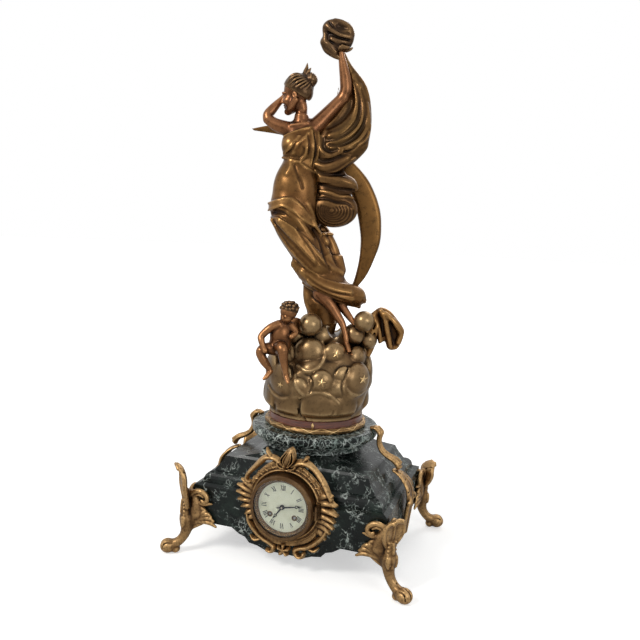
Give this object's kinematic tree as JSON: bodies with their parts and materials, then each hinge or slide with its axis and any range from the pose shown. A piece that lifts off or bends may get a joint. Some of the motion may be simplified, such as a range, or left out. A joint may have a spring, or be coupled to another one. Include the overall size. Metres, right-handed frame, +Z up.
{
  "type": "figural mantel clock",
  "caption": "Marble mantel clock on gilt scroll feet with a round hinged dial, topped by a patinated striding figure on clouds with a crescent moon.",
  "frame": {"origin": "on the floor under the centre of the case", "axes": "+Z up, the dial faces -Y, +X to the right as seen from the front"},
  "size_m": [0.4422, 0.3208, 0.9049],
  "materials": {
    "marble": "polished green-black stone with white veins",
    "gilt": "antiqued gilding, cast and burnished",
    "movement_brass": "turned and lacquered",
    "steel": "turned",
    "blued_steel": "blued and polished",
    "dial_white": "white enamel, glossy",
    "glass": "clear, bevelled edge",
    "dark_wood": "ebonised, satin",
    "spelter": "brown patinated casting, satin with worn lights",
    "bell_metal": "turned bell metal"
  },
  "bodies": {
    "clock_case": {"plinth_front": "marble", "plinth_back": "marble", "plinth_sides": "marble", "plinth_moulding": "marble", "shoulder_block": "marble", "pedestal": "marble", "dial_blocks": "marble", "marble_disc": "marble", "dial_surround": "gilt", "feet_front": "gilt", "feet_rear": "gilt", "side_mounts": "gilt", "gilt_ring": "gilt", "wood_socle": "dark_wood", "tie_rod": "steel", "dial_enamel": "dial_white", "dial_plate": "movement_brass", "bezel_seat": "gilt", "sight_ring": "gilt", "bezel_hinge": "gilt", "front_plate": "movement_brass", "back_plate": "movement_brass", "plate_pillars": "movement_brass", "bell": "bell_metal", "bell_stand": "movement_brass", "rear_ring": "movement_brass", "case_straps": "movement_brass", "cloud_terrace": "spelter", "figure_body": "spelter", "figure_head": "spelter", "arm_raised": "spelter", "arm_bent": "spelter", "held_bundle": "spelter", "leg_forward": "spelter", "cape_drapery": "spelter", "crescent_moon": "spelter", "side_drapery": "spelter", "child_figure": "spelter"},
    "bezel_frame": {"bezel": "gilt", "bezel_glass": "glass"},
    "rear_cover": {"rear_door": "movement_brass"},
    "minute_work": {"minute_hand": "blued_steel", "cannon_pinion": "movement_brass"},
    "hour_work": {"hour_hand": "blued_steel", "hour_wheel": "movement_brass"},
    "motion_work": {"motion_wheel": "movement_brass"},
    "centre_arbor": {"centre_wheel": "movement_brass"},
    "second_arbor": {"second_wheel": "movement_brass"},
    "going_drum": {"going_barrel": "movement_brass"},
    "third_arbor": {"third_wheel": "movement_brass"},
    "escape_arbor": {"escape_wheel": "movement_brass"},
    "going_winder": {"going_winding_arbor": "steel"},
    "strike_drum": {"strike_barrel": "movement_brass"},
    "strike_winder": {"strike_winding_arbor": "steel"},
    "pin_arbor": {"pin_wheel": "movement_brass"},
    "fly_arbor": {"fly": "movement_brass"},
    "pallet_arbor": {"pallets": "steel"},
    "pendulum": {"pendulum_rod": "steel", "pendulum_bob": "movement_brass"},
    "hammer_arbor": {"hammer": "steel"}
  },
  "joints": [
    {"name": "bezel_open", "type": "hinge", "parent": "clock_case", "child": "bezel_frame", "pos_m": [0.0576, -0.1504, 0.117], "axis": [0, 0, 1], "range_deg": [0, 95]},
    {"name": "rear_door_open", "type": "hinge", "parent": "clock_case", "child": "rear_cover", "pos_m": [-0.0566, 0.1366, 0.117], "axis": [0, 0, 1], "range_deg": [0, 110]},
    {"name": "centre_wheel_turn", "type": "hinge", "parent": "clock_case", "child": "centre_arbor", "pos_m": [0, -0.118, 0.117], "axis": [0, 1, 0], "continuous": true},
    {"name": "minute_hand_turn", "type": "hinge", "parent": "clock_case", "child": "minute_work", "pos_m": [0, -0.149, 0.117], "axis": [0, 1, 0], "continuous": true},
    {"name": "hour_hand_turn", "type": "hinge", "parent": "clock_case", "child": "hour_work", "pos_m": [0, -0.148, 0.117], "axis": [0, 1, 0], "continuous": true},
    {"name": "motion_wheel_turn", "type": "hinge", "parent": "clock_case", "child": "motion_work", "pos_m": [0, -0.138, 0.105], "axis": [0, 1, 0], "continuous": true},
    {"name": "second_wheel_turn", "type": "hinge", "parent": "clock_case", "child": "second_arbor", "pos_m": [0.01787, -0.118, 0.11973], "axis": [0, 1, 0], "continuous": true},
    {"name": "going_barrel_turn", "type": "hinge", "parent": "clock_case", "child": "going_drum", "pos_m": [0.021, -0.118, 0.102], "axis": [0, 1, 0], "continuous": true},
    {"name": "third_wheel_turn", "type": "hinge", "parent": "clock_case", "child": "third_arbor", "pos_m": [-0.01, -0.118, 0.131], "axis": [0, 1, 0], "continuous": true},
    {"name": "escape_wheel_turn", "type": "hinge", "parent": "clock_case", "child": "escape_arbor", "pos_m": [0, -0.118, 0.141], "axis": [0, 1, 0], "continuous": true},
    {"name": "going_winding_turn", "type": "hinge", "parent": "clock_case", "child": "going_winder", "pos_m": [0.021, -0.118, 0.102], "axis": [0, 1, 0], "continuous": true},
    {"name": "pin_wheel_turn", "type": "hinge", "parent": "clock_case", "child": "pin_arbor", "pos_m": [-0.02257, -0.118, 0.11993], "axis": [0, 1, 0], "continuous": true},
    {"name": "strike_barrel_turn", "type": "hinge", "parent": "clock_case", "child": "strike_drum", "pos_m": [-0.021, -0.118, 0.102], "axis": [0, 1, 0], "continuous": true},
    {"name": "fly_turn", "type": "hinge", "parent": "clock_case", "child": "fly_arbor", "pos_m": [-0.02474, -0.118, 0.13224], "axis": [0, 1, 0], "continuous": true},
    {"name": "strike_winding_turn", "type": "hinge", "parent": "clock_case", "child": "strike_winder", "pos_m": [-0.021, -0.118, 0.102], "axis": [0, 1, 0], "continuous": true},
    {"name": "pendulum_swing", "type": "hinge", "parent": "clock_case", "child": "pendulum", "pos_m": [0, -0.091, 0.153], "axis": [0, 1, 0], "range_deg": [-4, 4]},
    {"name": "pallets_rock", "type": "hinge", "parent": "clock_case", "child": "pallet_arbor", "pos_m": [0, -0.118, 0.153], "axis": [0, 1, 0], "range_deg": [-4, 4]},
    {"name": "hammer_lift", "type": "hinge", "parent": "clock_case", "child": "hammer_arbor", "pos_m": [-0.014, -0.086, 0.15], "axis": [0, 1, 0], "range_deg": [0, 10]}
  ],
  "couplings": [
    {"joint": "minute_hand_turn", "follows": "centre_wheel_turn", "ratio": 1},
    {"joint": "hour_hand_turn", "follows": "centre_wheel_turn", "ratio": 0.083333},
    {"joint": "motion_wheel_turn", "follows": "centre_wheel_turn", "ratio": -0.33333},
    {"joint": "second_wheel_turn", "follows": "centre_wheel_turn", "ratio": -0.2},
    {"joint": "going_barrel_turn", "follows": "centre_wheel_turn", "ratio": 0.04},
    {"joint": "third_wheel_turn", "follows": "centre_wheel_turn", "ratio": -4},
    {"joint": "escape_wheel_turn", "follows": "centre_wheel_turn", "ratio": 16},
    {"joint": "strike_barrel_turn", "follows": "pin_wheel_turn", "ratio": -0.2},
    {"joint": "fly_turn", "follows": "pin_wheel_turn", "ratio": -4},
    {"joint": "pallets_rock", "follows": "pendulum_swing", "ratio": 1}
  ]
}
